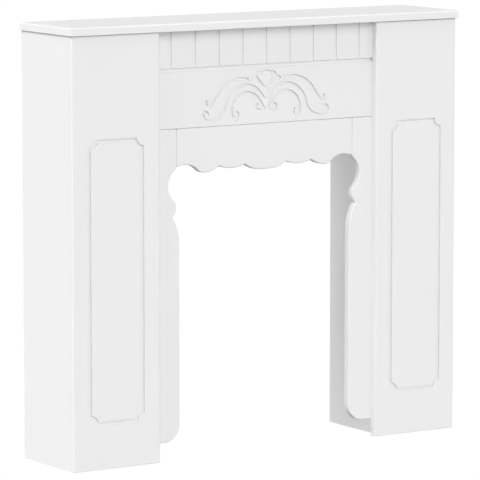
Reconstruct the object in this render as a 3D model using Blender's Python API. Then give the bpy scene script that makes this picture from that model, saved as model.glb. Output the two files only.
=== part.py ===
"""A white painted fireplace mantelpiece, built of flat boards.

Two hollow columns, open towards the wall, carry a shelf. Between them, set back by the thickness of a
board, stand a frieze with a beaded band and a carved ornament, a scalloped apron below it, and a shaped
jamb beside each column. The origin is on the floor, in the middle of the whole footprint: X runs to the
right, Y towards the wall and Z up. Everything is in metres.
"""

import math

import bmesh
import bpy

# Whole object
BODY_WIDTH = 1.000  # across both columns
BODY_DEPTH = 0.211  # from the column faces to the wall
HEIGHT = 0.950  # from the floor to the top of the shelf
BOARD = 0.016  # thickness of every upright board
FIT_GAP = 0.0003  # between boards that touch

# Shelf
SHELF_THICKNESS = 0.018
SHELF_SIDE_OVERHANG = 0.004
SHELF_FRONT_OVERHANG = 0.006
SHELF_EASE = 0.004  # radius of its upper front and side edges
SHELF_EASE_STEPS = 3

# Columns
COLUMN_WIDTH = 0.195  # over the two side boards
FACE_OVERLAP = 0.022  # how far the face board reaches past the column, over the end of the frieze
PANEL_SIDE_MARGIN = 0.0425  # from the face board's edge to the middle of the panel groove
PANEL_FOOT_MARGIN = 0.0995  # from the floor
PANEL_HEAD_MARGIN = 0.2255  # from the underside of the shelf
PANEL_SCOOP = 0.0165  # radius of the hollow corners
PANEL_SCOOP_STEPS = 6

# Routed grooves
GROOVE_WIDTH = 0.0075
GROOVE_FLOOR_WIDTH = 0.0045
GROOVE_DEPTH = 0.0025
CUTTER_RISE = 0.002  # how far a cutter stands out of the board

# Frieze
FRIEZE_HEIGHT = 0.2107
BAND_HEIGHT = 0.084  # from the underside of the shelf to the middle of the groove below the beads
BEAD_PITCH = 0.0613
BORDER_INSET = 0.008  # the fine line at each end of the band, from the edge of the column face
BORDER_WIDTH = 0.002
BORDER_DEPTH = 0.0012

# Carved ornament, drawn on a grid that has this many units from its middle to its end
ORNAMENT_GRID = 170
ORNAMENT_HALF_WIDTH = 0.170
ORNAMENT_RISE = 0.0087  # from the foot of the frieze to the foot of the drawing
STROKE_WIDTH = 0.0075
STROKE_FLOOR_WIDTH = 0.004
STROKE_DEPTH = 0.0025
STROKE_TIP = 0.55  # width at a stroke's end, as a share of its full width
STROKE_TAPER = 0.022  # length over which it narrows
CURVE_SAG = 0.3  # how far a curve may stand out from its straight pieces, in units of the grid
CURVE_TURN = math.radians(24)  # largest bend at one point

# Apron. SEAM stands for the upright joint between the apron and a jamb
SEAM_FROM_COLUMN = 0.075
SEAM_EASE = 0.002  # the small corner taken off where the apron, a jamb and the frieze meet
APRON_DROP = 0.0863  # from the foot of the frieze down to the points between the scallops
MIDDLE_SCALLOP = 0.262  # the points' distances from the middle, as shares of the distance to the bite
OUTER_SCALLOP = 0.587
SHOULDER = 0.772
MIDDLE_SCALLOP_DROP = 0.013
OUTER_SCALLOP_DROP = 0.0058
SHOULDER_DROP = 0.0117
SHOULDER_HOLLOW = 0.0012
SHOULDER_SWELL = 0.0022
SCALLOP_STEPS = 8

# Jambs, and the round bite that each shares with the apron
BITE_RADIUS = 0.0447
BITE_FROM_SEAM = 0.024  # from the seam to the bite's centre, towards the middle
BITE_BELOW_SCALLOPS = 0.0365
BITE_APRON_ANGLE = math.radians(54)  # where the bite ends in the apron
BITE_JAMB_ANGLE = math.radians(232.6)  # where it ends in the jamb
BITE_STEP = math.radians(9)
NOTCH_FROM_SEAM = 0.010  # from the seam, towards the column
NOTCH_BELOW_BITE = 0.068
BUMP_SWELL = 0.0055
BUMP_STEPS = 7
SWEEP_LENGTH = 0.0585  # from the notch down to the straight edge
SWEEP_STEPS = 7
EDGE_FROM_SEAM = 0.0075  # from the seam to the straight edge, towards the middle
JAMB_LIFT = 0.039  # clear of the floor
JAMB_CORNER = 0.038  # radius of the lower corner
JAMB_CORNER_STEPS = 8

# Colours
PAINT = (0.86, 0.86, 0.855, 1.0)
PAINT_ROUGHNESS = 0.42

# Places that follow from the sizes above
TOTAL_DEPTH = BODY_DEPTH + SHELF_FRONT_OVERHANG
BACK_Y = TOTAL_DEPTH / 2
FACE_Y = BACK_Y - BODY_DEPTH
RECESS_Y = FACE_Y + BOARD + FIT_GAP
HALF_WIDTH = BODY_WIDTH / 2
SHELF_FOOT = HEIGHT - SHELF_THICKNESS
CARCASS_TOP = SHELF_FOOT - FIT_GAP
OPENING_HALF = HALF_WIDTH - COLUMN_WIDTH
FACE_EDGE = OPENING_HALF - FACE_OVERLAP
FRIEZE_FOOT = SHELF_FOOT - FRIEZE_HEIGHT
SEAM_X = OPENING_HALF - SEAM_FROM_COLUMN
SCALLOP_Z = FRIEZE_FOOT - APRON_DROP
BITE_X = SEAM_X - BITE_FROM_SEAM
BITE_Z = SCALLOP_Z - BITE_BELOW_SCALLOPS


def clear_scene():
    """Remove every object that is in the file."""
    for thing in list(bpy.data.objects):
        bpy.data.objects.remove(thing, do_unlink=True)


def painted(name):
    """A white satin paint for one board."""
    material = bpy.data.materials.new(name + "_paint")
    material.use_nodes = True
    shader = material.node_tree.nodes["Principled BSDF"]
    shader.inputs["Base Color"].default_value = PAINT
    shader.inputs["Roughness"].default_value = PAINT_ROUGHNESS
    shader.inputs["Metallic"].default_value = 0.0
    return material


def add_object(name, shape):
    """Turn a bmesh into an object in the scene."""
    bmesh.ops.recalc_face_normals(shape, faces=shape.faces)
    mesh = bpy.data.meshes.new(name)
    shape.to_mesh(mesh)
    shape.free()
    thing = bpy.data.objects.new(name, mesh)
    bpy.context.scene.collection.objects.link(thing)
    return thing


def slab(outline, front, thickness):
    """A board: an outline of (x, z) points, extruded from its front face towards the wall."""
    shape = bmesh.new()
    near = [shape.verts.new((x, front, z)) for x, z in outline]
    far = [shape.verts.new((x, front + thickness, z)) for x, z in outline]
    shape.faces.new(near)
    shape.faces.new(list(reversed(far)))
    for start in range(len(outline)):
        end = (start + 1) % len(outline)
        shape.faces.new((near[end], near[start], far[start], far[end]))
    return shape


def board(name, outline, front, thickness=BOARD):
    """A painted board with the given outline."""
    thing = add_object(name, slab(outline, front, thickness))
    thing.data.materials.append(painted(name))
    return thing


def rectangle(left, right, foot, head):
    """The outline of a plain board."""
    return [(left, foot), (right, foot), (right, head), (left, head)]


def arc(centre, radius, start, end, steps):
    """Points on a circle, both ends included."""
    turn = (end - start) / steps
    angles = [start + turn * step for step in range(steps + 1)]
    return [(centre[0] + radius * math.cos(a), centre[1] + radius * math.sin(a)) for a in angles]


def swell(start, end, height, steps):
    """An arc from one point to another that stands out by height to the left of the way between them."""
    span = math.dist(start, end)
    radius = (span * span / 4 + height * height) / (2 * abs(height))
    side = math.copysign(1, height)
    along = ((end[0] - start[0]) / span, (end[1] - start[1]) / span)
    across = (-along[1] * side, along[0] * side)
    middle = ((start[0] + end[0]) / 2, (start[1] + end[1]) / 2)
    reach = radius - abs(height)
    centre = (middle[0] - across[0] * reach, middle[1] - across[1] * reach)
    half = math.asin(min(1.0, span / 2 / radius))
    points = []
    for step in range(steps + 1):
        angle = half * (2 * step / steps - 1)
        out = radius * math.cos(angle)
        on = radius * math.sin(angle)
        points.append(
            (centre[0] + across[0] * out + along[0] * on, centre[1] + across[1] * out + along[1] * on)
        )
    return points


def mirrored(points):
    """The same points on the other side of the middle, in the opposite order."""
    return [(-x, z) for x, z in reversed(points)]


def joined(*runs):
    """Runs of points end to end, without the points that two runs share."""
    points = []
    for run in runs:
        for point in run:
            if not points or math.dist(points[-1], point) > FIT_GAP / 10:
                points.append(point)
    return points


def tapers(path):
    """How wide a stroke is at each point, as shares of its full width: it narrows towards both ends."""
    runs = [math.dist(a, b) for a, b in zip(path, path[1:])]
    length = sum(runs)
    shares = []
    travelled = 0.0
    for run in runs + [0.0]:
        near_end = min(travelled, length - travelled)
        shares.append(STROKE_TIP + (1 - STROKE_TIP) * min(1.0, near_end / STROKE_TAPER))
        travelled += run
    return shares


def heading_between(start, end):
    """The direction from one point to another, or None where they are the same."""
    span = math.dist(start, end)
    return ((end[0] - start[0]) / span, (end[1] - start[1]) / span) if span > 0 else None


def mitre(back, here, ahead):
    """The direction across a path at one of its points, and how much wider it is there than beside it."""
    arriving = heading_between(back, here) or heading_between(here, ahead)
    leaving = heading_between(here, ahead) or arriving
    across = (-(arriving[1] + leaving[1]), arriving[0] + leaving[0])
    size = math.hypot(*across)
    across = (across[0] / size, across[1] / size)
    return across, 1 / (across[1] * arriving[0] - across[0] * arriving[1])


def cutter(name, path, front, sizes, closed=False, shares=None):
    """A solid that follows a path of (x, z) points and cuts a groove with sloping walls and a flat floor."""
    width, floor_width, depth = sizes
    spread = (width - floor_width) * CUTTER_RISE / depth
    section = (
        (-(width + spread) / 2, front - CUTTER_RISE),
        (-floor_width / 2, front + depth),
        (floor_width / 2, front + depth),
        ((width + spread) / 2, front - CUTTER_RISE),
    )
    shape = bmesh.new()
    rings = []
    for index, (x, z) in enumerate(path):
        back = path[index - 1] if closed or index > 0 else path[0]
        ahead = path[(index + 1) % len(path)] if closed or index < len(path) - 1 else path[-1]
        across, widening = mitre(back, (x, z), ahead)
        scale = widening * (shares[index] if shares else 1.0)
        ring = [
            shape.verts.new((x + across[0] * off * scale, y, z + across[1] * off * scale))
            for off, y in section
        ]
        rings.append(ring)
    pairs = list(zip(rings, rings[1:]))
    if closed:
        pairs.append((rings[-1], rings[0]))
    else:
        shape.faces.new(rings[0])
        shape.faces.new(list(reversed(rings[-1])))
    for this, following in pairs:
        for corner in range(len(section)):
            beside = (corner + 1) % len(section)
            shape.faces.new((this[corner], following[corner], following[beside], this[beside]))
    thing = add_object(name, shape)
    thing.hide_render = True
    thing.display_type = "WIRE"
    return thing


def groove(name, path, front, closed=False):
    """A cutter for one of the plain routed grooves."""
    return cutter(name, path, front, (GROOVE_WIDTH, GROOVE_FLOOR_WIDTH, GROOVE_DEPTH), closed)


def cut(thing, tools):
    """Cut each tool out of a board."""
    for tool in tools:
        modifier = thing.modifiers.new(tool.name, "BOOLEAN")
        modifier.operation = "DIFFERENCE"
        modifier.solver = "EXACT"
        modifier.object = tool


def shelf():
    """The shelf: flush with the wall, with its upper edges rounded at the front and sides."""
    half = HALF_WIDTH + SHELF_SIDE_OVERHANG
    front = BACK_Y - TOTAL_DEPTH
    shape = slab(rectangle(-half, half, SHELF_FOOT, HEIGHT), front, TOTAL_DEPTH)
    upper = [
        edge
        for edge in shape.edges
        if all(vert.co.z > SHELF_FOOT + FIT_GAP for vert in edge.verts)
        and any(vert.co.y < 0 for vert in edge.verts)
    ]
    bmesh.ops.bevel(
        shape,
        geom=upper,
        offset=SHELF_EASE,
        segments=SHELF_EASE_STEPS,
        profile=0.5,
        affect="EDGES",
        clamp_overlap=True,
    )
    thing = add_object("mantel_shelf", shape)
    thing.data.materials.append(painted("mantel_shelf"))


def panel_path(left, right, foot, head):
    """The line of the panel groove: a rectangle whose corners are scooped out."""
    corners = (
        ((left, foot), math.pi / 2, 0.0),
        ((right, foot), math.pi, math.pi / 2),
        ((right, head), -math.pi / 2, -math.pi),
        ((left, head), 0.0, -math.pi / 2),
    )
    scoops = [arc(corner, PANEL_SCOOP, start, end, PANEL_SCOOP_STEPS) for corner, start, end in corners]
    return joined(*scoops)


def column(side, sign):
    """One column: a grooved face board on an outer and an inner side board."""
    left, right = sorted((sign * HALF_WIDTH, sign * FACE_EDGE))
    face = board(side + "_column_face", rectangle(left, right, 0, CARCASS_TOP), FACE_Y)
    path = panel_path(
        left + PANEL_SIDE_MARGIN,
        right - PANEL_SIDE_MARGIN,
        PANEL_FOOT_MARGIN,
        SHELF_FOOT - PANEL_HEAD_MARGIN,
    )
    cut(face, [groove(side + "_panel_cutter", path, FACE_Y, closed=True)])

    for name, edge in (("outer", HALF_WIDTH), ("inner", OPENING_HALF + BOARD)):
        near, far = sorted((sign * edge, sign * (edge - BOARD)))
        outline = rectangle(near, far, 0, CARCASS_TOP)
        board(side + "_column_" + name + "_side", outline, RECESS_Y, BACK_Y - RECESS_Y)


def frieze():
    """The board under the shelf, with its beads and the carved ornament."""
    half = OPENING_HALF - FIT_GAP
    foot = FRIEZE_FOOT + FIT_GAP / 2
    thing = board("frieze", rectangle(-half, half, foot, CARCASS_TOP), RECESS_Y)
    cut(thing, band_cutters(half) + ornament_cutters())


def band_cutters(half):
    """The groove below the beads, the grooves between them and the fine line at each end."""
    line = SHELF_FOOT - BAND_HEIGHT
    above = SHELF_FOOT + CUTTER_RISE
    below = line - GROOVE_WIDTH / 2
    past = half + CUTTER_RISE
    tools = [groove("band_line_cutter", [(-past, line), (past, line)], RECESS_Y)]
    border = FACE_EDGE - BORDER_INSET
    each_side = int((border - GROOVE_WIDTH) / BEAD_PITCH)
    for place in range(-each_side, each_side + 1):
        x = place * BEAD_PITCH
        tools.append(groove("bead_cutter_%d" % (place + each_side + 1), [(x, below), (x, above)], RECESS_Y))
    for side, x in (("left", -border), ("right", border)):
        sizes = (BORDER_WIDTH, BORDER_WIDTH / 2, BORDER_DEPTH)
        tools.append(cutter(side + "_border_cutter", [(x, below), (x, above)], RECESS_Y, sizes))
    return tools


def pen_line(start, heading, bends):
    """A line of tangent arcs on the ornament's grid.

    Each bend is a turn in degrees, to the left, and a radius. With a turn of 0 it is a straight
    of that length.
    """
    x, z = start
    angle = math.radians(heading)
    points = [start]
    for degrees, size in bends:
        turn = math.radians(degrees)
        finest = min(CURVE_TURN, 2 * math.acos(1 - CURVE_SAG / size))
        steps = max(1, math.ceil(abs(turn) / finest))
        chord = 2 * size * math.sin(abs(turn) / steps / 2) if turn else size
        for _ in range(steps):
            angle += turn / steps / 2
            x += chord * math.cos(angle)
            z += chord * math.sin(angle)
            angle += turn / steps / 2
            points.append((x, z))
    return points


def drawn(points):
    """Points on the ornament's grid, placed on the frieze."""
    unit = ORNAMENT_HALF_WIDTH / ORNAMENT_GRID
    foot = FRIEZE_FOOT + ORNAMENT_RISE
    return [(x * unit, foot + z * unit) for x, z in points]


def ornament_cutters():
    """A small shell between two leaves, over three pairs of scrolls."""
    leaf = pen_line((0, 66), 28, [(6, 58), (26, 50), (-102, 12.5)])
    long_scroll = pen_line(
        (0, 40.5), 51, [(0, 24), (-51, 46.5), (-78, 56), (84, 38), (66, 18.5), (97, 6), (94, 7.5)]
    )
    outer_scroll = pen_line((45, 88), 14, [(-7.5, 126), (-65.5, 67.5), (10, 146), (12, 18), (167, 6.5)])
    inner_scroll = pen_line(
        (75.3, 18),
        211,
        [(67, 7), (109, 7.3), (48, 10.3), (115, 38), (47.5, 45.7), (0, 13), (133, 5.7), (0, 9.5), (157, 6)],
    )
    middle_lobe = swell((-13, 100.6), (13, 100.6), 4.4, 6)
    side_lobe = swell((13, 100.6), (26.5, 96.5), 3.4, 4)

    strokes = {
        "leaf": joined(mirrored(leaf), leaf),
        "long_scroll": joined(mirrored(long_scroll), long_scroll),
        "shell": joined(mirrored(side_lobe), middle_lobe, side_lobe),
        "left_outer_scroll": mirrored(outer_scroll),
        "right_outer_scroll": outer_scroll,
        "left_inner_scroll": mirrored(inner_scroll),
        "right_inner_scroll": inner_scroll,
    }
    sizes = (STROKE_WIDTH, STROKE_FLOOR_WIDTH, STROKE_DEPTH)
    tools = []
    for name, points in strokes.items():
        path = drawn(points)
        tools.append(cutter(name + "_cutter", path, RECESS_Y, sizes, shares=tapers(path)))
    return tools


def bite_angle(x):
    """Where the right-hand bite crosses an upright line at x."""
    return math.acos((BITE_X - x) / BITE_RADIUS)


def bite(start, end):
    """The right-hand bite between two angles, measured clockwise from its side towards the middle."""
    steps = max(2, round(abs(end - start) / BITE_STEP))
    return arc((BITE_X, BITE_Z), BITE_RADIUS, math.pi - start, math.pi - end, steps)


def apron():
    """The scalloped board between the jambs."""
    half = SEAM_X - FIT_GAP / 2
    head = FRIEZE_FOOT - FIT_GAP / 2
    middle_point = (BITE_X * MIDDLE_SCALLOP, SCALLOP_Z)
    outer_point = (BITE_X * OUTER_SCALLOP, SCALLOP_Z)
    shoulder = (BITE_X * SHOULDER, SCALLOP_Z - SHOULDER_DROP)
    arch = bite(bite_angle(half), BITE_APRON_ANGLE)
    right_side = joined(
        [(half - SEAM_EASE, head), (half, head - SEAM_EASE)],
        arch,
        swell(arch[-1], shoulder, -SHOULDER_HOLLOW, SCALLOP_STEPS // 2),
        swell(shoulder, outer_point, SHOULDER_SWELL, SCALLOP_STEPS // 2),
        swell(outer_point, middle_point, OUTER_SCALLOP_DROP, SCALLOP_STEPS),
    )
    middle = swell(middle_point, (-middle_point[0], SCALLOP_Z), MIDDLE_SCALLOP_DROP, SCALLOP_STEPS + 2)
    board("apron", joined(right_side, middle, mirrored(right_side)), RECESS_Y)


def jamb(side, sign):
    """The shaped board beside one column."""
    column_x = OPENING_HALF - FIT_GAP
    seam_x = SEAM_X + FIT_GAP / 2
    head = FRIEZE_FOOT - FIT_GAP / 2
    edge_x = SEAM_X - EDGE_FROM_SEAM
    notch = (SEAM_X + NOTCH_FROM_SEAM, BITE_Z - NOTCH_BELOW_BITE)
    arch = bite(bite_angle(seam_x), BITE_JAMB_ANGLE)
    run = notch[0] - edge_x
    sweep_swell = math.hypot(run, SWEEP_LENGTH) / 2 * math.tan(math.atan2(run, SWEEP_LENGTH) / 2)
    corner = (edge_x + JAMB_CORNER, JAMB_LIFT + JAMB_CORNER)
    outline = joined(
        [(column_x, JAMB_LIFT), (column_x, head), (seam_x + SEAM_EASE, head), (seam_x, head - SEAM_EASE)],
        arch,
        swell(arch[-1], notch, -BUMP_SWELL, BUMP_STEPS),
        swell(notch, (edge_x, notch[1] - SWEEP_LENGTH), -sweep_swell, SWEEP_STEPS),
        arc(corner, JAMB_CORNER, math.pi, 1.5 * math.pi, JAMB_CORNER_STEPS),
    )
    board(side + "_jamb", [(sign * x, z) for x, z in outline], RECESS_Y)


def main():
    """Build the whole mantelpiece."""
    clear_scene()
    shelf()
    for side, sign in (("left", -1), ("right", 1)):
        column(side, sign)
        jamb(side, sign)
    frieze()
    apron()


main()
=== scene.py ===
"""The looks of a white painted fireplace mantelpiece, built around its packed boards.

Every board is made again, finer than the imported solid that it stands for: its edges are eased, its curves
are smooth, and its routed lines have the soft lips that sprayed paint leaves. Everything is in metres, in
the frame's own axes: X to the right, Y towards the wall and Z up.
"""

from __future__ import annotations

import logging
import math
from dataclasses import dataclass, field, replace
from enum import Enum
from typing import Iterable, Sequence, Union

import bmesh
import bpy
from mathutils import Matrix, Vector

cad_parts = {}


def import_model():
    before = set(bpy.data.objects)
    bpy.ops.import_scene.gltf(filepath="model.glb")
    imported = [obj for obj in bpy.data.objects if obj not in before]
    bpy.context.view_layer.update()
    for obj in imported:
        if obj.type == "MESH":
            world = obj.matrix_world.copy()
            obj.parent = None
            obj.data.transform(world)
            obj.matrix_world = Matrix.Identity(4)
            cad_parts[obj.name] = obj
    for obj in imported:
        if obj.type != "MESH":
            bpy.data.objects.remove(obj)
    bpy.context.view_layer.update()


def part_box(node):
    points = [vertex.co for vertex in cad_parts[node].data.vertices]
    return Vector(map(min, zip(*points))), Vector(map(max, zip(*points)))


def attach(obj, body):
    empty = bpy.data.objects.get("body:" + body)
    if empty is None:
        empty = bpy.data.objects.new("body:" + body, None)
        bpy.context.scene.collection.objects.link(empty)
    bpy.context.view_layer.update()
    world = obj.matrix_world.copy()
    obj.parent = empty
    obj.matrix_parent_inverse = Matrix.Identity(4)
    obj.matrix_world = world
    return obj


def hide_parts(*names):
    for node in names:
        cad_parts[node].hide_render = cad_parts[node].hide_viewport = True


log = logging.getLogger("mantelpiece")

Point = tuple[float, float]
Operand = Union["Signal", float]
SocketKey = Union[int, str]

BODY = "root"


class Side(Enum):
    """The left or the right half of the mantelpiece, as seen from the room."""

    LEFT = -1
    RIGHT = 1

    @property
    def word(self) -> str:
        """The side's name in a node's or a piece's name."""
        return self.name.lower()


class Coat(Enum):
    """The three ways in which the paint lies on a board."""

    FACE = 0
    CUT = 1
    BACK = 2


class Signal:
    """A socket of a shader node, so that shader maths can be written as an expression."""

    def __init__(self, graph: Graph, socket: bpy.types.NodeSocket) -> None:
        """Wrap an output socket of one of a graph's nodes."""
        self.graph = graph
        self.socket = socket

    def _math(self, operation: str, first: Operand, second: Operand) -> Signal:
        """Join two operands in a Math node and return its output."""
        return self.graph.node("ShaderNodeMath", {0: first, 1: second}, operation=operation)

    def __add__(self, other: Operand) -> Signal:
        """Self plus other."""
        return self._math("ADD", self, other)

    def __radd__(self, other: Operand) -> Signal:
        """Other plus self."""
        return self._math("ADD", other, self)

    def __sub__(self, other: Operand) -> Signal:
        """Self minus other."""
        return self._math("SUBTRACT", self, other)

    def __rsub__(self, other: Operand) -> Signal:
        """Other minus self."""
        return self._math("SUBTRACT", other, self)

    def __mul__(self, other: Operand) -> Signal:
        """Self times other."""
        return self._math("MULTIPLY", self, other)


class Graph:
    """The node tree of a material or of the world."""

    # Where a Mix node for colours has its factor, its two colours and its result.
    MIX_FACTOR = 0
    MIX_LOW = 6
    MIX_HIGH = 7
    MIX_RESULT = 2

    def __init__(self, owner: Union[bpy.types.Material, bpy.types.World]) -> None:
        """Start an empty node tree.

        Args:
            owner: the material or the world that gets the nodes.
        """
        owner.use_nodes = True
        self.tree = owner.node_tree
        self.tree.nodes.clear()

    def node(
        self,
        kind: str,
        values: dict[SocketKey, object] | None = None,
        output: SocketKey = 0,
        **settings: object,
    ) -> Signal | None:
        """Add a node.

        Args:
            kind: the node's type.
            values: what each input socket holds or is linked to, by its index or name.
            output: the index or name of the output to return.
            settings: the node's own properties, which are set first.

        Returns:
            The chosen output, or None for a node that ends the tree.
        """
        node = self.tree.nodes.new(kind)
        for name, value in settings.items():
            setattr(node, name, value)
        for name, value in (values or {}).items():
            socket = node.inputs[name]
            if isinstance(value, Signal):
                self.tree.links.new(value.socket, socket)
            else:
                socket.default_value = value
        return Signal(self, node.outputs[output]) if node.outputs else None

    def mix(self, factor: Operand, low: Sequence[float], high: Sequence[float]) -> Signal:
        """Mix two colours by a factor from 0 to 1."""
        values = {self.MIX_FACTOR: factor, self.MIX_LOW: low, self.MIX_HIGH: high}
        return self.node("ShaderNodeMix", values, self.MIX_RESULT, data_type="RGBA")

    def dot(self, vector: Signal, axis: Sequence[float]) -> Signal:
        """How far a vector reaches along an axis."""
        return self.node("ShaderNodeVectorMath", {0: vector, 1: axis}, "Value", operation="DOT_PRODUCT")

    def against_zero(self, operation: str, value: Signal) -> Signal:
        """Compare a value with zero in a Math node."""
        return self.node("ShaderNodeMath", {0: value, 1: 0.0}, operation=operation)

    def noise(self, place: Signal, size: float, detail: float = 2.0) -> Signal:
        """Smooth noise around 0.5, whose blots are about as wide as size, in metres."""
        return self.node("ShaderNodeTexNoise", {"Vector": place, "Scale": 1.0 / size, "Detail": detail})


@dataclass(frozen=True)
class SatinPaint:
    """White satin paint on wood-fibre board.

    Attributes:
        name: the material's name.
        white: how much light the paint returns, from 0 to 1.
        warmth: how much less blue than red it returns.
        mottle: how far the white varies from place to place.
        mottle_size: the width of those places.
        roughness: the paint's own roughness.
        dry_spots: how much rougher it is where the board has soaked it up.
        stipple_size: the width of the small bumps that the spray gun leaves.
        stipple_height: their height.
        fibre_height: the height of the board's raised fibres under the paint.
    """

    name: str
    white: float = 0.80
    warmth: float = 0.004
    mottle: float = 0.010
    mottle_size: float = 0.16
    roughness: float = 0.42
    dry_spots: float = 0.10
    stipple_size: float = 0.0022
    stipple_height: float = 0.00003
    fibre_height: float = 0.0

    MOTTLE_DETAIL = 3.0
    FIBRE_WIDTH = 0.0005
    FIBRE_DETAIL = 4.0

    def material(self) -> bpy.types.Material:
        """The paint's material, made when it is first asked for."""
        return bpy.data.materials.get(self.name) or self._make()

    def _make(self) -> bpy.types.Material:
        """Make the material.

        Returns:
            The new material.
        """
        material = bpy.data.materials.new(self.name)
        graph = Graph(material)
        place = graph.node("ShaderNodeTexCoord", output="Object")
        broad = graph.noise(place, self.mottle_size, self.MOTTLE_DETAIL)
        stipple = graph.noise(place, self.stipple_size)
        height = stipple * self.stipple_height
        if self.fibre_height:
            fibres = graph.noise(place, self.FIBRE_WIDTH, self.FIBRE_DETAIL)
            height = height + fibres * self.fibre_height
        bump = graph.node("ShaderNodeBump", {"Height": height, "Distance": 1.0}, "Normal")
        shader = graph.node(
            "ShaderNodeBsdfPrincipled",
            {
                "Base Color": graph.mix(broad, self._tone(-self.mottle), self._tone(self.mottle)),
                "Roughness": self.roughness + (broad + stipple - 1.0) * self.dry_spots,
                "Normal": bump,
            },
        )
        graph.node("ShaderNodeOutputMaterial", {"Surface": shader})
        return material

    def _tone(self, shift: float) -> tuple[float, float, float, float]:
        """The paint's colour, lighter or darker by a shift."""
        level = self.white + shift
        return (level, level - self.warmth / 3, level - self.warmth, 1.0)


PAINTS: dict[Coat, SatinPaint] = {
    Coat.FACE: SatinPaint("satin_paint_on_faces"),
    Coat.CUT: SatinPaint("satin_paint_on_cuts", roughness=0.50, fibre_height=0.00002),
    Coat.BACK: SatinPaint("thin_paint_on_backs", roughness=0.60, mottle=0.016, fibre_height=0.00004),
}


@dataclass(frozen=True)
class Carcass:
    """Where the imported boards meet, read from the frame.

    Attributes:
        shelf_foot: the underside of the shelf.
        face_edge: from the middle to the inner edge of a column's face board.
        frieze_foot: the lower edge of the frieze.
        seam: from the middle to the end of the apron.
        gap: between boards that touch.
    """

    shelf_foot: float
    face_edge: float
    frieze_foot: float
    seam: float
    gap: float

    @classmethod
    def from_frame(cls) -> Carcass:
        """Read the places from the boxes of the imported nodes.

        Returns:
            The places.
        """
        shelf_low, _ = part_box("mantel_shelf")
        face_low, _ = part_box("right_column_face")
        frieze_low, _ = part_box("frieze")
        _, apron_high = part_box("apron")
        return cls(
            shelf_foot=shelf_low.z,
            face_edge=face_low.x,
            frieze_foot=frieze_low.z,
            seam=apron_high.x,
            gap=frieze_low.z - apron_high.z,
        )


class Line:
    """A line of (x, z) points that is drawn one stretch after another.

    It knows which of its points lie on a seam. The way between two such points that follow each other is an
    edge that meets another board.
    """

    # How far an arc turns from one of its points to the next, and how close two points lie that are one.
    ARC_STEP = math.radians(3.0)
    SAME_POINT = 1e-5

    def __init__(self, *points: Point) -> None:
        """Start a line with some points joined by straights."""
        self.points: list[Point] = list(points)
        self.seam_points: set[Point] = set()

    def along_seam(self, *points: Point) -> Line:
        """Go on through the points of a seam, straight from one to the next."""
        self.seam_points.update(points)
        return self.add(points)

    def join(self, other: Line) -> Line:
        """Go on through another line."""
        self.seam_points.update(other.seam_points)
        return self.add(other.points)

    def add(self, points: Iterable[Point]) -> Line:
        """Go on through more points, leaving out those that the line is at already.

        Args:
            points: the points to add.

        Returns:
            The line itself.
        """
        for point in points:
            if not self.points or math.dist(self.points[-1], point) > self.SAME_POINT:
                self.points.append(point)
        return self

    def arc(self, centre: Point, radius: float, start: float, end: float) -> Line:
        """Go on along a circle.

        Args:
            centre: the circle's centre.
            radius: its radius.
            start: the angle at which the arc starts, counter-clockwise from +X.
            end: the angle at which it ends.

        Returns:
            The line itself.
        """
        steps = max(2, math.ceil(abs(end - start) / self.ARC_STEP))
        angles = [start + (end - start) * step / steps for step in range(steps + 1)]
        return self.add((centre[0] + radius * math.cos(a), centre[1] + radius * math.sin(a)) for a in angles)

    def swell_to(self, end: Point, height: float) -> Line:
        """Go on to a point in an arc that stands out to the left of the straight way there.

        Args:
            end: the point to reach.
            height: how far the arc stands out. A negative height stands out to the right.

        Returns:
            The line itself.
        """
        start = self.points[-1]
        span = math.dist(start, end)
        half_turn = 2 * math.atan(2 * abs(height) / span)
        radius = span / 2 / math.sin(half_turn)
        side = math.copysign(1.0, height)
        along = direction_between(start, end)
        across = (-along[1] * side, along[0] * side)
        reach = radius * math.cos(half_turn)
        centre = ((start[0] + end[0]) / 2 - across[0] * reach, (start[1] + end[1]) / 2 - across[1] * reach)
        first = math.atan2(start[1] - centre[1], start[0] - centre[0])
        return self.arc(centre, radius, first, first - side * 2 * half_turn)

    def mirrored(self) -> Line:
        """Mirror the line in the middle, and draw it the other way.

        Returns:
            The new line.
        """
        twin = Line(*[(-x, z) for x, z in reversed(self.points)])
        twin.seam_points = {(-x, z) for x, z in self.seam_points}
        return twin

    def on_side(self, side: Side) -> Line:
        """The line as it is on the right, or as its mirror image on the left."""
        return self if side is Side.RIGHT else self.mirrored()


class Pen:
    """A pen that draws a stroke of tangent arcs on the ornament's grid."""

    # How far one straight piece of an arc may turn, and how far the arc may stand out from it on the grid.
    ARC_STEP = math.radians(5.0)
    SAG = 0.05

    def __init__(self, x: float, z: float, heading: float) -> None:
        """Put the pen down, to set off at a heading in degrees counter-clockwise from +X."""
        self.points: list[Point] = [(x, z)]
        self.angle = math.radians(heading)

    def bend(self, degrees: float, radius: float) -> Pen:
        """Draw an arc.

        Args:
            degrees: how far the pen turns, to the left if positive.
            radius: the arc's radius.

        Returns:
            The pen itself.
        """
        turn = math.radians(degrees)
        finest = min(self.ARC_STEP, 2 * math.acos(1 - self.SAG / radius))
        steps = max(2, math.ceil(abs(turn) / finest))
        chord = 2 * radius * math.sin(abs(turn) / steps / 2)
        for _ in range(steps):
            self.angle += turn / steps / 2
            self._forward(chord)
            self.angle += turn / steps / 2
        return self

    def straight(self, length: float) -> Pen:
        """Draw a straight of a given length."""
        self._forward(length)
        return self

    def _forward(self, length: float) -> None:
        """Move the pen along its heading."""
        x, z = self.points[-1]
        self.points.append((x + length * math.cos(self.angle), z + length * math.sin(self.angle)))


def direction_between(start: Point, end: Point) -> Point:
    """The direction from one point to another, as a vector of length 1."""
    span = math.dist(start, end)
    return ((end[0] - start[0]) / span, (end[1] - start[1]) / span)


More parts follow.
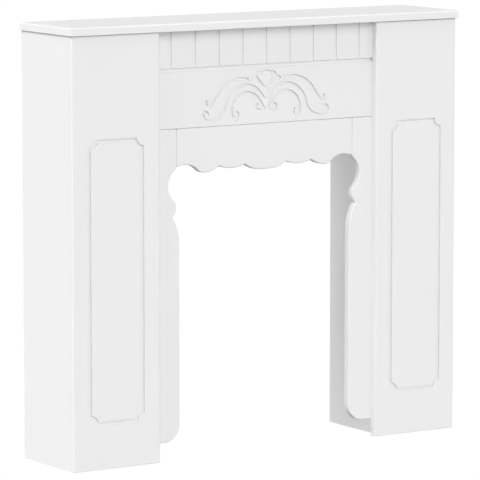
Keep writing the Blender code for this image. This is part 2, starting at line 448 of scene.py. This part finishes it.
def corner_move(arriving: Point, leaving: Point, arriving_share: float, leaving_share: float) -> Point:
    """How far a corner moves when the two edges that meet there move sideways.

    Args:
        arriving: the direction of the edge before the corner.
        leaving: the direction of the edge after it.
        arriving_share: how far the edge before it moves to its left.
        leaving_share: how far the edge after it does.

    Returns:
        The corner's move.
    """
    if arriving_share == leaving_share:
        along = (arriving[0] + leaving[0], arriving[1] + leaving[1])
        size = along[0] * arriving[0] + along[1] * arriving[1]
        return (-along[1] * arriving_share / size, along[0] * arriving_share / size)
    turn = arriving[0] * leaving[1] - arriving[1] * leaving[0]
    across = leaving[0] * arriving_share - arriving[0] * leaving_share
    up = leaving[1] * arriving_share - arriving[1] * leaving_share
    return (across / turn, up / turn)


def offsets(points: Sequence[Point], closed: bool, shares: Sequence[float] | None = None) -> list[Point]:
    """How far each point of a line moves when its edges move sideways, mitred at the corners.

    Args:
        points: the line's points.
        closed: whether the last point joins the first.
        shares: how far the edge after each point moves, or None where each moves by 1.

    Returns:
        A vector for each point, towards the left of the line.
    """
    moves = []
    count = len(points)
    shares = shares or [1.0] * count
    for index, here in enumerate(points):
        first = index == 0 and not closed
        last = index == count - 1 and not closed
        leaving = None if last else direction_between(here, points[(index + 1) % count])
        arriving = leaving if first else direction_between(points[index - 1], here)
        moves.append(corner_move(arriving, leaving or arriving, shares[index - 1], shares[index]))
    return moves


def rounding(radius: float, steps: int) -> list[Point]:
    """How far the points of a rounded corner lie inside its two sides, from (radius, 0) to (0, radius)."""
    angles = [math.pi / 2 * step / steps for step in range(steps + 1)]
    return [(radius * (1 - math.sin(angle)), radius * (1 - math.cos(angle))) for angle in angles]


def tangent_swell(run: float, rise: float) -> float:
    """How far an arc stands out that sets off along a run and ends at a rise beside it."""
    return math.hypot(run, rise) / 2 * math.tan(math.atan2(rise, run) / 2)


def loft(name: str, rings: Sequence[Sequence[Vector]]) -> bpy.types.Mesh:
    """A closed body through rings of as many points each, with its first and last ring filled.

    Args:
        name: the mesh's name.
        rings: the rings, in order.

    Returns:
        The new mesh.
    """
    shape = bmesh.new()
    loops = [[shape.verts.new(point) for point in ring] for ring in rings]
    shape.faces.new(loops[0])
    shape.faces.new(list(reversed(loops[-1])))
    for this, following in zip(loops, loops[1:]):
        for start in range(len(this)):
            end = (start + 1) % len(this)
            shape.faces.new((this[start], following[start], following[end], this[end]))
    if shape.calc_volume(signed=True) < 0:
        bmesh.ops.reverse_faces(shape, faces=shape.faces)
    mesh = bpy.data.meshes.new(name)
    shape.to_mesh(mesh)
    shape.free()
    return mesh


def place(mesh: bpy.types.Mesh) -> bpy.types.Object:
    """Put a mesh in the scene.

    Args:
        mesh: the mesh.

    Returns:
        The object that holds it, which has its name.
    """
    thing = bpy.data.objects.new(mesh.name, mesh)
    bpy.context.scene.collection.objects.link(thing)
    return thing


@dataclass(frozen=True)
class Groove:
    """The cut of a flat-ended router bit: a flat floor, steep walls and lips that the paint has rounded.

    Attributes:
        width: across the groove at the board's face.
        floor_width: across its floor.
        depth: from the face to the floor.
    """

    width: float = 0.0080
    floor_width: float = 0.0066
    depth: float = 0.0045

    # How far a cutter stands out of the board.
    RISE = 0.002
    # Where the wall has its points, as shares of the way from the floor to the lip.
    WALL_SHARES = (0.0, 0.12, 0.28, 0.5, 0.72, 0.86, 0.93)
    END_STEPS = 10

    def cutter(self, name: str, line: Sequence[Point], face: float) -> bpy.types.Object:
        """A body that cuts the groove along a line, with a half circle round each end.

        Args:
            name: the cutter's name.
            line: the groove's middle line, as (x, z) points.
            face: where the board's face is, along Y.

        Returns:
            The cutter, which isn't rendered.
        """
        moves = offsets(line, closed=False)
        rings = []
        for reach, depth in self._wall():
            rings.append([Vector((x, face + depth, z)) for x, z in self._edge(line, moves, reach)])
        thing = place(loft(name, rings))
        thing.hide_render = True
        return thing

    def _wall(self) -> list[Point]:
        """The section of the wall.

        Returns:
            (distance from the middle line, depth) from the floor to above the face.
        """
        run = (self.width - self.floor_width) / 2
        wall = []
        for share in self.WALL_SHARES:
            smooth_share = share * share * (3 - 2 * share)
            wall.append((self.floor_width / 2 + run * share, self.depth * (1 - smooth_share)))
        return wall + [(wall[-1][0], -self.RISE)]

    def _edge(self, line: Sequence[Point], moves: Sequence[Point], reach: float) -> list[Point]:
        """The loop that keeps a distance from the middle line.

        Args:
            line: the middle line.
            moves: which way each of its points moves.
            reach: the distance.

        Returns:
            The loop's points.
        """
        left = [(x + dx * reach, z + dz * reach) for (x, z), (dx, dz) in zip(line, moves)]
        right = [(x - dx * reach, z - dz * reach) for (x, z), (dx, dz) in zip(line, moves)]
        back = (-moves[0][0], -moves[0][1])
        return left + self._end(line[-1], moves[-1], reach) + right[::-1] + self._end(line[0], back, reach)

    def _end(self, centre: Point, start: Point, reach: float) -> list[Point]:
        """The half circle round an end of the loop, clockwise.

        Args:
            centre: the end of the middle line.
            start: the direction in which the half circle starts.
            reach: its radius.

        Returns:
            Its points, without the first and the last.
        """
        points = []
        for step in range(1, self.END_STEPS):
            turn = -math.pi * step / self.END_STEPS
            across = start[0] * math.cos(turn) - start[1] * math.sin(turn)
            up = start[0] * math.sin(turn) + start[1] * math.cos(turn)
            points.append((centre[0] + across * reach, centre[1] + up * reach))
        return points


@dataclass
class Board:
    """A board with eased edges, cut lines and paint.

    Attributes:
        name: the piece's name.
        node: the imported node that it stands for.
        rings: its surface as rings of points, from one flat face to the other.
        face_axis: the axis that its two large faces look along, 0 for X, 1 for Y and 2 for Z.
        cutters: the bodies that are cut out of it.
    """

    name: str
    node: str
    rings: list[list[Vector]]
    face_axis: int = 1
    cutters: list[bpy.types.Object] = field(default_factory=list)

    # How straight a flat face looks along an axis, how far two faces turn at a sharp edge, and how close two
    # points of a cut lie that are one.
    FLAT = 0.999
    SHARP = math.radians(50.0)
    SAME_POINT = 3e-6

    @classmethod
    def upright(cls, name: str, node: str, line: Line, easing: Easing, **more: object) -> Board:
        """A board as deep as its node, with an outline drawn counter-clockwise as seen from the room."""
        low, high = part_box(node)
        return cls(name, node, eased_rings(line, low.y, high.y, easing), **more)

    def build(self) -> None:
        """Make the board, cut it, paint it and put it in the place of its node."""
        piece = place(loft(self.name, self.rings))
        for cutter in self.cutters:
            modifier = piece.modifiers.new(cutter.name, "BOOLEAN")
            modifier.operation = "DIFFERENCE"
            modifier.solver = "EXACT"
            modifier.object = cutter
        self._keep_result(piece)
        for coat in Coat:
            piece.data.materials.append(PAINTS[coat].material())
        for polygon in piece.data.polygons:
            polygon.material_index = self._coat_of(polygon.normal).value
        self._shade(piece)
        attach(piece, BODY)
        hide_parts(self.node)
        log.info("%s: %d faces, stands for %s", piece.name, len(piece.data.polygons), self.node)

    def _keep_result(self, piece: bpy.types.Object) -> None:
        """Put the modifiers' result in the piece's own mesh, close it and remove the cutters.

        Args:
            piece: the piece.
        """
        if not self.cutters:
            return
        graph = bpy.context.evaluated_depsgraph_get()
        result = bpy.data.meshes.new_from_object(piece.evaluated_get(graph))
        shape = bmesh.new()
        shape.from_mesh(result)
        bmesh.ops.holes_fill(shape, edges=shape.edges)
        bmesh.ops.remove_doubles(shape, verts=shape.verts, dist=self.SAME_POINT)
        shape.to_mesh(result)
        shape.free()
        piece.modifiers.clear()
        piece.data = result
        for cutter in self.cutters:
            bpy.data.objects.remove(cutter)

    def _coat_of(self, normal: Vector) -> Coat:
        """The coat on a part of the surface.

        Args:
            normal: the direction in which that part looks.

        Returns:
            The coat.
        """
        if normal.y > self.FLAT:
            return Coat.BACK
        if abs(normal[self.face_axis]) > self.FLAT or normal.y < -self.FLAT:
            return Coat.FACE
        return Coat.CUT

    def _shade(self, piece: bpy.types.Object) -> None:
        """Shade the eased edges and the grooves smoothly, and keep the flat faces flat.

        Args:
            piece: the piece.
        """
        piece.data.shade_smooth()
        piece.data.set_sharp_from_angle(angle=self.SHARP)
        weighted = piece.modifiers.new("flat_faces_lead", "WEIGHTED_NORMAL")
        weighted.keep_sharp = True


@dataclass(frozen=True)
class Easing:
    """How the edges of a board are rounded.

    Attributes:
        front: the radius of a free edge towards the room.
        seam: that of an edge that meets another board.
        back: the radius of every edge towards the wall.
        shrink: how far an edge that meets another board draws back, which opens the seam.
        steps: how many pieces each rounding has.
    """

    front: float = 0.0025
    seam: float = 0.0009
    back: float = 0.0004
    shrink: float = 0.0
    steps: int = 5

    def profile(self, front: float, back: float) -> list[tuple[float, float, float]]:
        """The section of a board's edge.

        Args:
            front: where the front face is, along Y.
            back: where the back face is.

        Returns:
            (inset of a free edge, inset of an edge at a seam, y) from the front face to the back face.
        """
        section = []
        for inset, depth in rounding(self.front, self.steps):
            left = max(0.0, self.seam - depth)
            at_seam = self.seam - math.sqrt(self.seam * self.seam - left * left)
            section.append((inset, self.shrink + at_seam, front + depth))
        for depth, inset in rounding(self.back, self.steps):
            section.append((inset, self.shrink + inset, back - depth))
        return section


# The columns' own boards meet closely. Those between the columns have seams that show.
CLOSE_SEAMS = Easing()
OPEN_SEAMS = Easing(shrink=0.00015)


def eased_rings(line: Line, front: float, back: float, easing: Easing) -> list[list[Vector]]:
    """The rings of a board whose faces look along Y.

    Args:
        line: the board's outline, drawn counter-clockwise as seen from the room.
        front: where its front face is, along Y.
        back: where its back face is.
        easing: how its edges are rounded.

    Returns:
        The rings from the front face to the back face.
    """
    points = line.points
    seams = []
    for start, end in zip(points, points[1:] + points[:1]):
        seams.append(1.0 if {start, end} <= line.seam_points else 0.0)
    free_moves = offsets(points, True, [1.0 - share for share in seams])
    seam_moves = offsets(points, True, seams)
    rings = []
    for free, seam, y in easing.profile(front, back):
        ring = []
        for (x, z), free_move, seam_move in zip(points, free_moves, seam_moves):
            across = free_move[0] * free + seam_move[0] * seam
            up = free_move[1] * free + seam_move[1] * seam
            ring.append(Vector((x + across, y, z + up)))
        rings.append(ring)
    return rings


def corners_of(low: Vector, high: Vector) -> list[Point]:
    """The corners of a plain board that fills a box, counter-clockwise from the lower left one."""
    return [(low.x, low.z), (high.x, low.z), (high.x, high.z), (low.x, high.z)]


@dataclass
class Shelf:
    """The top board, with its upper front and side edges rounded.

    Attributes:
        edge_radius: the radius of those edges.
        ease: the radius of the lower edges.
        lift: how far its underside clears the boards below, which shows as a dark line.
        steps: how many pieces each rounding has.
    """

    edge_radius: float = 0.003
    ease: float = 0.0008
    lift: float = 0.0006
    steps: int = 6

    def build(self) -> None:
        """Build the shelf."""
        low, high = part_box("mantel_shelf")
        lower = [(inset, low.z + self.lift + rise) for inset, rise in rounding(self.ease, self.steps)]
        upper = [(inset, high.z - drop) for drop, inset in rounding(self.edge_radius, self.steps)]
        rings = []
        for inset, z in lower + upper:
            left, right, front = low.x + inset, high.x - inset, low.y + inset
            corners = [(left, high.y), (left, front), (right, front), (right, high.y)]
            rings.append([Vector((x, y, z)) for x, y in corners])
        Board("painted_shelf", "mantel_shelf", rings, face_axis=2).build()


@dataclass
class Column:
    """One hollow column: a face board with a routed panel line, on two side boards.

    Attributes:
        side: which column it is.
        carcass: where the boards stand.
        side_margin: from the face board's edge to the middle of the panel line.
        foot_margin: from the floor to the panel line.
        head_margin: from the underside of the shelf to the panel line.
        scoop: the radius of the panel's hollow corners.
        groove: the section of the panel line.
    """

    side: Side
    carcass: Carcass
    side_margin: float = 0.0425
    foot_margin: float = 0.0995
    head_margin: float = 0.2255
    scoop: float = 0.0165
    groove: Groove = Groove()

    def build(self) -> None:
        """Build the column's three boards."""
        self._face_board()
        self._side_board("outer")
        self._side_board("inner")

    def _face_board(self) -> None:
        """The front board, with the panel line cut into it. Its head meets the shelf."""
        node = self.side.word + "_column_face"
        low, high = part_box(node)
        corners = corners_of(low, high)
        outline = Line(*corners[:2]).along_seam(*corners[2:])
        cutters = []
        panel = self._panel(low.x + self.side_margin, high.x - self.side_margin)
        for number, line in enumerate(panel, start=1):
            cutters.append(self.groove.cutter(f"{self.side.word}_panel_line_{number}", line.points, low.y))
        name = self.side.word + "_face_board"
        Board.upright(name, node, outline, CLOSE_SEAMS, cutters=cutters).build()

    def _panel(self, left: float, right: float) -> list[Line]:
        """The panel's lines.

        Args:
            left: the left side of the rectangle that the panel fills.
            right: its right side.

        Returns:
            The hollow round each corner of the rectangle, and then the straights that join them.
        """
        foot = self.foot_margin
        head = self.carcass.shelf_foot - self.head_margin
        corners = [(left, foot), (right, foot), (right, head), (left, head)]
        quarter = math.pi / 2
        hollows = []
        for number, corner in enumerate(corners):
            hollows.append(Line().arc(corner, self.scoop, (number + 1) * quarter, number * quarter))
        straights = []
        for hollow, following in zip(hollows, hollows[1:] + hollows[:1]):
            straights.append(Line(hollow.points[-1], following.points[0]))
        return hollows + straights

    def _side_board(self, which: str) -> None:
        """A plain board on a side of the column.

        Args:
            which: "outer" or "inner".
        """
        name = f"{self.side.word}_{which}_side_board"
        node = f"{self.side.word}_column_{which}_side"
        outline = Line().along_seam(*corners_of(*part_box(node)))
        Board.upright(name, node, outline, CLOSE_SEAMS, face_axis=0).build()


@dataclass
class Ornament:
    """The carved drawing on the frieze: a small shell between two leaves, over three pairs of scrolls.

    Attributes:
        grid: how many units the drawing has from its middle to its end.
        half_width: that distance in metres.
        rise: from the foot of the frieze to the foot of the drawing.
        stroke: the section of a stroke.
    """

    grid: float = 170.0
    half_width: float = 0.170
    rise: float = 0.0087
    stroke: Groove = Groove()

    # How much deeper each stroke is than the one before, so that no two floors lie in one plane.
    DEEPER = 0.00001

    def cutters(self, frieze_foot: float, face: float) -> list[bpy.types.Object]:
        """Make a cutter for each stroke.

        Args:
            frieze_foot: the lower edge of the frieze.
            face: the front of the frieze.

        Returns:
            The cutters.
        """
        unit = self.half_width / self.grid
        foot = frieze_foot + self.rise
        tools = []
        for number, (name, line) in enumerate(self._strokes().items()):
            points = [(x * unit, foot + z * unit) for x, z in line.points]
            stroke = replace(self.stroke, depth=self.stroke.depth + number * self.DEEPER)
            tools.append(stroke.cutter(name, points, face))
        return tools

    def _strokes(self) -> dict[str, Line]:
        """Draw the strokes. All but the shell's middle lobe are there on each side.

        Returns:
            The strokes on the grid, by their names.
        """
        leaf = Pen(0, 66, 42).bend(8, 218).bend(-92, 11)
        long = Pen(0, 40.5, 51).straight(24).bend(-51, 46.5).bend(-78, 56).bend(84, 38)
        long.bend(66, 18.5).bend(97, 6).bend(94, 7.5)
        outer = Pen(48, 88.7, 12.6).bend(-6.1, 126).bend(-65.5, 67.5).bend(10, 146).bend(12, 18)
        outer.bend(167, 6.5)
        inner = Pen(75.3, 18, 211).bend(67, 7).bend(109, 7.3).bend(48, 10.3).bend(115, 38).bend(47.5, 45.7)
        inner.straight(13).bend(133, 5.7).straight(9.5).bend(157, 6)
        half = {"leaf": leaf, "long_scroll": long, "outer_scroll": outer, "inner_scroll": inner}
        half["lobe"] = Line((13, 100.6)).swell_to((25, 97.3), 3.2)

        strokes = {"middle_lobe": Line((-13, 100.6)).swell_to((13, 100.6), 4.4)}
        for name, stroke in half.items():
            for side in Side:
                strokes[f"{side.word}_{name}"] = Line(*stroke.points).on_side(side)
        return strokes


@dataclass
class Frieze:
    """The board under the shelf, with a row of beads above a line and a carved ornament below it.

    Attributes:
        carcass: where the boards stand.
        band_height: from the underside of the shelf to the middle of the line.
        bead_pitch: from one bead groove to the next.
        border_inset: from the edge of the column face to the fine line at each end of the band.
        line: the section of the line.
        bead: the section of the bead grooves.
        border: the section of the fine lines.
        ornament: the carved drawing.
    """

    carcass: Carcass
    band_height: float = 0.084
    bead_pitch: float = 0.0613
    border_inset: float = 0.008
    line: Groove = Groove()
    bead: Groove = Groove(depth=0.0030)
    border: Groove = Groove(width=0.0022, floor_width=0.0008, depth=0.0012)
    ornament: Ornament = field(default_factory=Ornament)

    def build(self) -> None:
        """Build the frieze."""
        low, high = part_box("frieze")
        cutters = self._band(low.x, high.x, low.y) + self.ornament.cutters(self.carcass.frieze_foot, low.y)
        outline = Line().along_seam(*corners_of(low, high))
        Board.upright("carved_frieze", "frieze", outline, OPEN_SEAMS, cutters=cutters).build()

    def _band(self, left: float, right: float, face: float) -> list[bpy.types.Object]:
        """Make the cutters of the line, the bead grooves and the fine lines.

        Args:
            left: the left end of the board.
            right: its right end.
            face: its front.

        Returns:
            The cutters.
        """
        foot = self.carcass.shelf_foot - self.band_height
        past = self.line.width
        head = self.carcass.shelf_foot + past
        tools = [self.line.cutter("band_line", [(left - past, foot), (right + past, foot)], face)]
        border = self.carcass.face_edge - self.border_inset
        each_side = int((border - self.bead.width) / self.bead_pitch)
        for number in range(-each_side, each_side + 1):
            x = number * self.bead_pitch
            name = f"bead_groove_{number + each_side + 1}"
            tools.append(self.bead.cutter(name, [(x, foot), (x, head)], face))
        for side in Side:
            x = side.value * border
            tools.append(self.border.cutter(side.word + "_border_line", [(x, foot), (x, head)], face))
        return tools


@dataclass(frozen=True)
class Bite:
    """The round bite that the apron shares with a jamb, and the places that hang from it.

    Attributes:
        carcass: where the boards stand.
        apron_drop: from the foot of the frieze to the points between the scallops.
        radius: the bite's radius.
        from_seam: from the seam to its centre, towards the middle.
        below_scallops: from those points down to its centre.
        jamb_end: the angle at which it ends in the jamb, clockwise from its side towards the middle.
        seam_ease: the small corner that the apron and the jamb lack beside the frieze.
    """

    carcass: Carcass
    apron_drop: float = 0.0863
    radius: float = 0.0442
    from_seam: float = 0.024
    below_scallops: float = 0.0372
    jamb_end: float = math.radians(232.6)
    seam_ease: float = 0.002

    @property
    def seam(self) -> float:
        """The middle of the gap between the apron and the jamb."""
        return self.carcass.seam + self.carcass.gap / 2

    @property
    def scallop_line(self) -> float:
        """The height of the points between the scallops."""
        return self.carcass.frieze_foot - self.carcass.gap / 2 - self.apron_drop

    @property
    def centre(self) -> Point:
        """The centre of the right-hand bite."""
        return (self.seam - self.from_seam, self.scallop_line - self.below_scallops)

    def angle_at(self, x: float) -> float:
        """The angle at which the top of the right-hand bite crosses an upright line at x."""
        return math.acos((self.centre[0] - x) / self.radius)

    def crossing(self, x: float) -> Point:
        """The point where it crosses that line."""
        return (x, self.centre[1] + self.radius * math.sin(self.angle_at(x)))

    def draw(self, line: Line, start: float, end: float) -> None:
        """Go on along the right-hand bite, between two angles from its side towards the middle."""
        line.arc(self.centre, self.radius, math.pi - start, math.pi - end)


@dataclass
class Apron:
    """The scalloped board between the jambs.

    Attributes:
        bite: the round bite at each end.
        middle_point: where the middle scallop ends, as a share of the distance to the bite's centre.
        outer_point: where the next scallop ends.
        middle_knee: where the middle scallop's flank turns into its flat floor.
        knee_drop: how far that place lies below the scallops' ends.
        flank_swell: how full the flank is.
        floor_swell: how full the floor is.
        outer_drop: how far the next scallops hang down.
        shoulder_drop: how far the last ones do, which run into the bite in an S.
        shoulder_radius: the radius of the lower half of that S.
        end_rise: from the scallops' ends up to the apron's level end beside the seam.
    """

    bite: Bite
    middle_point: float = 0.262
    outer_point: float = 0.587
    middle_knee: float = 0.131
    knee_drop: float = 0.0127
    flank_swell: float = 0.0012
    floor_swell: float = 0.0014
    outer_drop: float = 0.0070
    shoulder_drop: float = 0.0127
    shoulder_radius: float = 0.024
    end_rise: float = 0.0046

    def build(self) -> None:
        """Build the apron."""
        _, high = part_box("apron")
        # The outline is drawn clockwise from the upper right corner, and turned round at the end.
        outline = self._right_half(high.x, high.z)
        left_half = outline.mirrored()
        outline.swell_to(left_half.points[0], self.floor_swell).join(left_half)
        outline.points.reverse()
        Board.upright("scalloped_apron", "apron", outline, OPEN_SEAMS).build()

    def _right_half(self, end: float, head: float) -> Line:
        """The outline from the upper right corner to the knee of the middle scallop.

        Args:
            end: where the board ends at the seam.
            head: the height of its upper edge.

        Returns:
            The outline.
        """
        reach = self.bite.centre[0]
        level = self.bite.scallop_line
        foot = level + self.end_rise
        ease = self.bite.seam_ease
        line = Line().along_seam((end - ease, head), (end, head - ease), (end, foot))
        self._shoulder(line, foot)
        outer = reach * self.outer_point
        line.swell_to((outer, level), tangent_swell(line.points[-1][0] - outer, self.shoulder_drop))
        line.swell_to((reach * self.middle_point, level), self.outer_drop)
        line.swell_to((reach * self.middle_knee, level - self.knee_drop), self.flank_swell)
        return line

    def _shoulder(self, line: Line, start: float) -> None:
        """Go on through the bite, and in an S to the lowest point of the last scallop.

        Args:
            line: the line that goes on.
            start: the height at which it enters the bite.
        """
        x, z = self.bite.centre
        rise = self.bite.below_scallops - self.shoulder_drop + self.shoulder_radius
        run = math.sqrt((self.bite.radius + self.shoulder_radius) ** 2 - rise**2)
        meeting = math.atan2(rise, run)
        self.bite.draw(line, math.pi - math.asin((start - z) / self.bite.radius), meeting)
        line.arc((x - run, z + rise), self.shoulder_radius, -meeting, -math.pi / 2)


@dataclass
class Jamb:
    """The shaped board beside a column.

    Attributes:
        side: which jamb it is.
        carcass: where the boards stand.
        bite: the round bite at its top.
        notch_from_seam: from the seam to the notch below the bite, towards the column.
        notch_below_bite: from the bite's centre down to the notch.
        bump: how far the bump between the bite and the notch stands out.
        sweep: from the notch down to the straight edge.
        corner: the radius of the lower corner.
    """

    side: Side
    carcass: Carcass
    bite: Bite
    notch_from_seam: float = 0.010
    notch_below_bite: float = 0.0673
    bump: float = 0.0055
    sweep: float = 0.0585
    corner: float = 0.038

    def build(self) -> None:
        """Build the jamb."""
        node = self.side.word + "_jamb"
        low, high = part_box(node)
        inner, outer = sorted((abs(low.x), abs(high.x)))
        outline = self._outline(inner, outer, low.z, high.z).on_side(self.side)
        Board.upright(self.side.word + "_shaped_jamb", node, outline, OPEN_SEAMS).build()

    def _outline(self, edge: float, outer: float, foot: float, head: float) -> Line:
        """The right-hand jamb's outline.

        Args:
            edge: where its straight edge is, beside the opening.
            outer: where its other edge is, behind the column's face.
            foot: the height of its lower edge.
            head: the height of its upper edge.

        Returns:
            The outline, counter-clockwise from its lower outer corner.
        """
        seam = self.bite.seam + self.carcass.gap / 2
        notch = (self.bite.seam + self.notch_from_seam, self.bite.centre[1] - self.notch_below_bite)
        ease = self.bite.seam_ease
        line = Line((outer, foot)).along_seam((outer, head), (seam + ease, head))
        line.along_seam((seam, head - ease), self.bite.crossing(seam))
        self.bite.draw(line, self.bite.angle_at(seam), self.bite.jamb_end)
        line.swell_to(notch, -self.bump)
        line.swell_to((edge, notch[1] - self.sweep), -tangent_swell(self.sweep, notch[0] - edge))
        line.arc((edge + self.corner, foot + self.corner), self.corner, math.pi, 1.5 * math.pi)
        return line


@dataclass(frozen=True)
class Lamp:
    """A soft light so far away that it falls the same way everywhere.

    Attributes:
        name: the light's name.
        bearing: how far to the right of straight in front of the mantelpiece it hangs, in degrees.
        height: how far above the horizon it hangs, in degrees.
        spread: how wide it looks, in degrees.
        strength: how bright it is.
    """

    name: str
    bearing: float
    height: float
    spread: float
    strength: float

    def build(self) -> None:
        """Hang the light up."""
        bearing = math.radians(self.bearing)
        height = math.radians(self.height)
        outwards = math.cos(height)
        towards = Vector((math.sin(bearing) * outwards, -math.cos(bearing) * outwards, math.sin(height)))
        data = bpy.data.lights.new(self.name, "SUN")
        data.energy = self.strength
        data.angle = math.radians(self.spread)
        lamp = bpy.data.objects.new(self.name, data)
        lamp.rotation_euler = towards.to_track_quat("Z", "Y").to_euler()
        bpy.context.scene.collection.objects.link(lamp)


@dataclass
class Studio:
    """The camera, the pale floor and the soft light around the mantelpiece.

    Attributes:
        eye: where the camera stands.
        heading: how far it is turned to the right, in degrees.
        pitch: how far it looks down, in degrees.
        lens: its focal length in millimetres.
        room: the width and the height of the white room around it.
        white: how bright the floor and the walls of that room look.
        from_floor: how bright the light is that the floor sends up, near the horizon.
        from_walls: the bearing and the brightness of the broad patches of light from the walls.
        lamps: the lights.
    """

    eye: tuple[float, float, float] = (-4.4845, -6.8652, 1.5327)
    heading: float = 33.09
    pitch: float = 7.49
    lens: float = 280.6
    room: float = 120.0
    white: float = 1.02
    from_floor: float = 1.18
    from_walls: tuple[tuple[float, float], ...] = ((45.0, 1.20), (-135.0, 0.94), (135.0, 0.74))
    lamps: tuple[Lamp, ...] = (
        Lamp("key_light", bearing=-22.0, height=30.0, spread=45.0, strength=1.65),
        Lamp("side_light", bearing=-84.0, height=48.4, spread=25.0, strength=1.98),
    )

    SENSOR_WIDTH = 36.0
    FARTHEST = 200.0
    WHITE = (1.0, 1.0, 1.0, 1.0)

    def build(self) -> None:
        """Set up the camera, the floor and the lights."""
        self._camera()
        self._floor()
        self._surroundings()
        for lamp in self.lamps:
            lamp.build()
        settings = bpy.context.scene.view_settings
        settings.view_transform = "Standard"
        settings.look = "None"

    def _camera(self) -> None:
        """Stand the camera where the photograph was taken from."""
        data = bpy.data.cameras.new("camera")
        data.sensor_width = self.SENSOR_WIDTH
        data.lens = self.lens
        data.clip_end = self.FARTHEST
        camera = bpy.data.objects.new("camera", data)
        camera.location = self.eye
        camera.rotation_euler = (math.radians(90.0 - self.pitch), 0.0, math.radians(-self.heading))
        bpy.context.scene.collection.objects.link(camera)
        bpy.context.scene.camera = camera

    def _floor(self) -> None:
        """Lay a pale floor, with pale walls far away. Their light is that of the surroundings."""
        half = self.room / 2
        plan = [(-half, -half), (half, -half), (half, half), (-half, half)]
        corners = [(x, y, z) for z in (0.0, self.room) for x, y in plan]
        sides = [(0, 1, 2, 3), (4, 5, 6, 7), (0, 1, 5, 4), (1, 2, 6, 5), (2, 3, 7, 6), (3, 0, 4, 7)]
        mesh = bpy.data.meshes.new("floor")
        mesh.from_pydata(corners, [], sides)
        floor = place(mesh)
        floor.visible_diffuse = False
        floor.visible_glossy = False
        floor.visible_shadow = False
        material = bpy.data.materials.new("pale_floor")
        graph = Graph(material)
        glow = graph.node("ShaderNodeEmission", {"Color": self.WHITE, "Strength": self.white})
        graph.node("ShaderNodeOutputMaterial", {"Surface": glow})
        mesh.materials.append(material)

    def _surroundings(self) -> None:
        """Surround everything with light: from the floor, most of it low, and in patches from the walls."""
        world = bpy.data.worlds.new("soft_surroundings")
        graph = Graph(world)
        direction = graph.node("ShaderNodeTexCoord", output="Generated")
        upwards = graph.dot(direction, (0.0, 0.0, 1.0))
        above = graph.against_zero("GREATER_THAN", upwards)
        strength = (1.0 - above) * (1.0 + upwards) * self.from_floor
        for bearing, brightness in self.from_walls:
            angle = math.radians(bearing)
            axis = (math.sin(angle), -math.cos(angle), 0.0)
            towards = graph.against_zero("MAXIMUM", graph.dot(direction, axis))
            strength = strength + above * towards * towards * brightness
        back = graph.node("ShaderNodeBackground", {"Color": self.WHITE, "Strength": strength})
        graph.node("ShaderNodeOutputWorld", {"Surface": back})
        bpy.context.scene.world = world


def main() -> None:
    """Build the mantelpiece board by board, then its surroundings."""
    logging.basicConfig(level=logging.INFO, format="%(name)s: %(message)s")
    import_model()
    carcass = Carcass.from_frame()
    bite = Bite(carcass)
    Shelf().build()
    for side in Side:
        Column(side, carcass).build()
        Jamb(side, carcass, bite).build()
    Frieze(carcass).build()
    Apron(bite).build()
    Studio().build()


if __name__ == "__main__":
    main()
